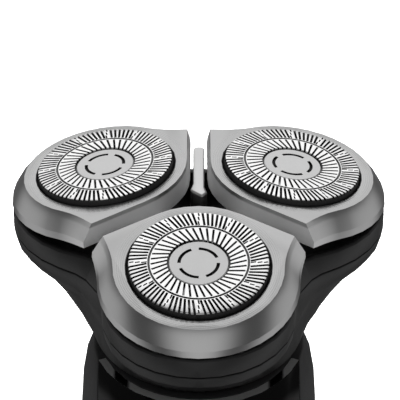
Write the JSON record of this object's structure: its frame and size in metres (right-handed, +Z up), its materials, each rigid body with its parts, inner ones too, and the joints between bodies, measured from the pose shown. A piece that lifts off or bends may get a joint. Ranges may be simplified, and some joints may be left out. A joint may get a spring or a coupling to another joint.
{
  "type": "rotary electric shaver",
  "caption": "Upright cordless rotary shaver: petal-shaped steel cutter heads on a lobed dark head that pulls off a rounded handle with a gloss front panel.",
  "frame": {"origin": "centre of the handle's flat base, where the handle's own axis meets the ground", "axes": "+Z up along the handle, -Y towards the front face with the power button, +X to the viewer's right"},
  "size_m": [0.0624, 0.0569, 0.1588],
  "materials": {
    "satin_petal_steel": "satin turned steel",
    "polished_guard_steel": "polished",
    "blade_steel": "ground",
    "dark_housing_plastic": "satin black",
    "black_gloss_plastic": "piano black gloss",
    "dark_grey_matte_plastic": "fine matte",
    "magnet": "sintered ferrite",
    "black_rubber": "matte rubber",
    "white_acetal": "natural acetal",
    "grey_chassis_plastic": "moulded",
    "chrome": "polished",
    "brass": "turned",
    "copper_winding": "enamelled copper",
    "circuit_board_green": "solder mask",
    "battery_wrap": "printed-free sleeve",
    "smoked_lens": "smoked clear"
  },
  "bodies": {
    "handle": {"handle_shell": "dark_grey_matte_plastic", "front_panel": "black_gloss_plastic", "rear_grip": "black_rubber", "button_ring": "chrome", "indicator_lens": "smoked_lens", "base_cap": "dark_grey_matte_plastic", "base_screw_left": "chrome", "base_screw_right": "chrome", "charging_socket": "chrome", "contact_tongue": "brass", "chassis": "grey_chassis_plastic", "motor_can": "chrome", "motor_end_cap": "white_acetal", "motor_magnet_left": "magnet", "motor_magnet_right": "magnet", "shaft_seal": "black_rubber", "battery_cell": "battery_wrap", "battery_terminal": "chrome", "circuit_board": "circuit_board_green", "button_switch": "dark_grey_matte_plastic", "indicator_led": "white_acetal", "neck_collar": "dark_housing_plastic"},
    "motor_rotor": {"motor_shaft": "blade_steel", "motor_rotor": "copper_winding"},
    "power_button": {"power_button": "black_gloss_plastic"},
    "head_base": {"head_base": "dark_housing_plastic", "chamber_floor": "dark_housing_plastic", "gear_tray": "grey_chassis_plastic", "pinion_bush": "brass", "gear_screw_front_right": "chrome", "gear_screw_rear": "chrome", "gear_screw_front_left": "chrome"},
    "drive_pinion": {"drive_pinion": "brass"},
    "top_frame": {"head_frame": "dark_housing_plastic", "rib_front_right": "satin_petal_steel", "rib_rear": "satin_petal_steel", "rib_front_left": "satin_petal_steel", "petal_pin_front": "chrome", "petal_pin_right": "chrome", "petal_pin_left": "chrome"},
    "driven_gear_front": {"driven_gear_front": "white_acetal"},
    "drive_coupler_front": {"drive_coupler_front": "white_acetal"},
    "petal_front": {"petal_front": "satin_petal_steel", "guard_front": "polished_guard_steel", "retainer_front": "white_acetal"},
    "cutter_front": {"cutter_front": "blade_steel"},
    "driven_gear_right": {"driven_gear_right": "white_acetal"},
    "drive_coupler_right": {"drive_coupler_right": "white_acetal"},
    "petal_right": {"petal_right": "satin_petal_steel", "guard_right": "polished_guard_steel", "retainer_right": "white_acetal"},
    "cutter_right": {"cutter_right": "blade_steel"},
    "driven_gear_left": {"driven_gear_left": "white_acetal"},
    "drive_coupler_left": {"drive_coupler_left": "white_acetal"},
    "petal_left": {"petal_left": "satin_petal_steel", "guard_left": "polished_guard_steel", "retainer_left": "white_acetal"},
    "cutter_left": {"cutter_left": "blade_steel"}
  },
  "joints": [
    {"name": "motor_spin", "type": "hinge", "parent": "handle", "child": "motor_rotor", "pos_m": [0, 0, 0.1], "axis": [0, 0, 1], "continuous": true},
    {"name": "power_button_press", "type": "slide", "parent": "handle", "child": "power_button", "axis": [0, 1, 0], "range_m": [0, 0.0006], "stiffness_N_per_m": 600, "springref_m": -0.0008},
    {"name": "head_pull_off", "type": "slide", "parent": "handle", "child": "head_base", "axis": [0, -0.5, 0.866], "range_m": [0, 0.02]},
    {"name": "frame_lift_off", "type": "slide", "parent": "head_base", "child": "top_frame", "axis": [0, -0.5, 0.866], "range_m": [0, 0.012]},
    {"name": "pinion_spin", "type": "hinge", "parent": "head_base", "child": "drive_pinion", "pos_m": [0, -0.0055, 0.13688], "axis": [0, -0.5, 0.866], "continuous": true},
    {"name": "gear_spin_front", "type": "hinge", "parent": "head_base", "child": "driven_gear_front", "pos_m": [0, -0.02055, 0.12819], "axis": [0, -0.5, 0.866], "continuous": true},
    {"name": "coupler_slide_front", "type": "slide", "parent": "driven_gear_front", "child": "drive_coupler_front", "axis": [0, 0.5, -0.866], "range_m": [0, 0.0013]},
    {"name": "petal_tilt_front", "type": "hinge", "parent": "top_frame", "child": "petal_front", "pos_m": [0, -0.03488, 0.1279], "axis": [-1, 0, 0], "range_deg": [0, 5], "stiffness_Nm_per_rad": 0.12, "springref_deg": -5.73},
    {"name": "cutter_spin_front", "type": "hinge", "parent": "petal_front", "child": "cutter_front", "pos_m": [0, -0.02815, 0.13996], "axis": [0, -0.6261, 0.7798], "continuous": true},
    {"name": "gear_spin_right", "type": "hinge", "parent": "head_base", "child": "driven_gear_right", "pos_m": [0.01505, 0.00203, 0.14122], "axis": [0, -0.5, 0.866], "continuous": true},
    {"name": "coupler_slide_right", "type": "slide", "parent": "driven_gear_right", "child": "drive_coupler_right", "axis": [0, 0.5, -0.866], "range_m": [0, 0.0013]},
    {"name": "petal_tilt_right", "type": "hinge", "parent": "top_frame", "child": "petal_right", "pos_m": [0.02592, 0.00401, 0.15034], "axis": [0.5, -0.75, -0.433], "range_deg": [0, 5], "stiffness_Nm_per_rad": 0.12, "springref_deg": -5.73},
    {"name": "cutter_spin_right", "type": "hinge", "parent": "petal_right", "child": "cutter_right", "pos_m": [0.01565, -0.00467, 0.15352], "axis": [0.1319, -0.4282, 0.894], "continuous": true},
    {"name": "gear_spin_left", "type": "hinge", "parent": "head_base", "child": "driven_gear_left", "pos_m": [-0.01505, 0.00203, 0.14122], "axis": [0, -0.5, 0.866], "continuous": true},
    {"name": "coupler_slide_left", "type": "slide", "parent": "driven_gear_left", "child": "drive_coupler_left", "axis": [0, 0.5, -0.866], "range_m": [0, 0.0013]},
    {"name": "petal_tilt_left", "type": "hinge", "parent": "top_frame", "child": "petal_left", "pos_m": [-0.02592, 0.00401, 0.15034], "axis": [0.5, 0.75, 0.433], "range_deg": [0, 5], "stiffness_Nm_per_rad": 0.12, "springref_deg": -5.73},
    {"name": "cutter_spin_left", "type": "hinge", "parent": "petal_left", "child": "cutter_left", "pos_m": [-0.01565, -0.00467, 0.15352], "axis": [-0.1319, -0.4282, 0.894], "continuous": true}
  ],
  "couplings": [
    {"joint": "pinion_spin", "follows": "motor_spin", "ratio": 1},
    {"joint": "gear_spin_front", "follows": "motor_spin", "ratio": -0.57143},
    {"joint": "cutter_spin_front", "follows": "motor_spin", "ratio": -0.57143},
    {"joint": "coupler_slide_front", "follows": "petal_tilt_front", "m_per_rad": 0.012649},
    {"joint": "gear_spin_right", "follows": "motor_spin", "ratio": -0.57143},
    {"joint": "cutter_spin_right", "follows": "motor_spin", "ratio": -0.57143},
    {"joint": "coupler_slide_right", "follows": "petal_tilt_right", "m_per_rad": 0.012649},
    {"joint": "gear_spin_left", "follows": "motor_spin", "ratio": -0.57143},
    {"joint": "cutter_spin_left", "follows": "motor_spin", "ratio": -0.57143},
    {"joint": "coupler_slide_left", "follows": "petal_tilt_left", "m_per_rad": 0.012649}
  ]
}
